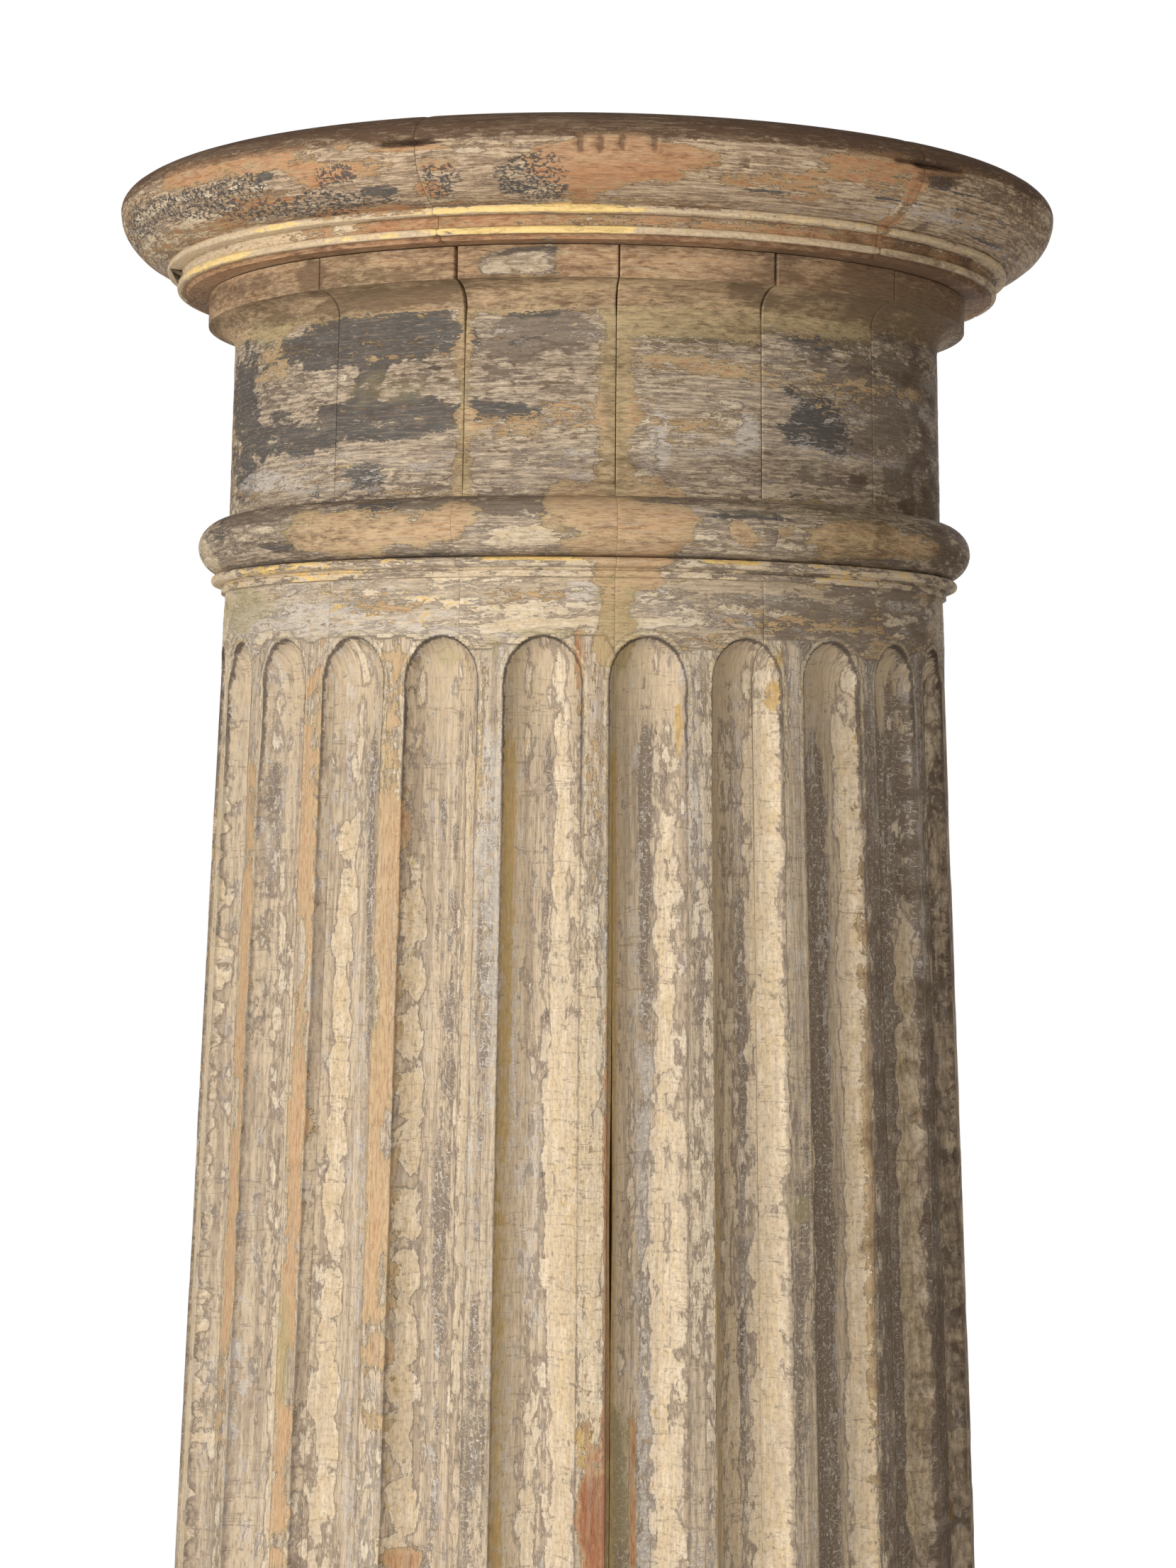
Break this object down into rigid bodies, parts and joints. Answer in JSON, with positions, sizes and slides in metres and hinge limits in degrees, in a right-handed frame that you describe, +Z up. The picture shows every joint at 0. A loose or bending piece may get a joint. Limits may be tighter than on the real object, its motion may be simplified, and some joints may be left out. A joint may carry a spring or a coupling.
{
  "type": "wooden column",
  "caption": "Hollow coopered wooden column: round cap ring, necking with torus, round-headed flutes, tapering shaft cut flat at the foot.",
  "frame": {"origin": "centre of the foot, on the ground", "axes": "+Z up the column's axis; -Y is the side seen in the picture"},
  "size_m": [0.6164, 0.6164, 2.44],
  "materials": {
    "stave": "softwood with worn cream and grey paint layers, crackled and flaking, bare along joints",
    "cap_ring": "turned softwood, mostly bare orange-brown with remains of grey and yellow paint"
  },
  "bodies": {
    "root": {"stave_01": "stave", "stave_02": "stave", "stave_03": "stave", "stave_04": "stave", "stave_05": "stave", "stave_06": "stave", "stave_07": "stave", "stave_08": "stave", "stave_09": "stave", "stave_10": "stave", "stave_11": "stave", "stave_12": "stave", "stave_13": "stave", "stave_14": "stave", "stave_15": "stave", "stave_16": "stave", "cap_ring_1": "cap_ring", "cap_ring_2": "cap_ring", "cap_ring_3": "cap_ring", "cap_ring_4": "cap_ring", "cap_ring_5": "cap_ring", "cap_ring_6": "cap_ring"}
  },
  "joints": []
}
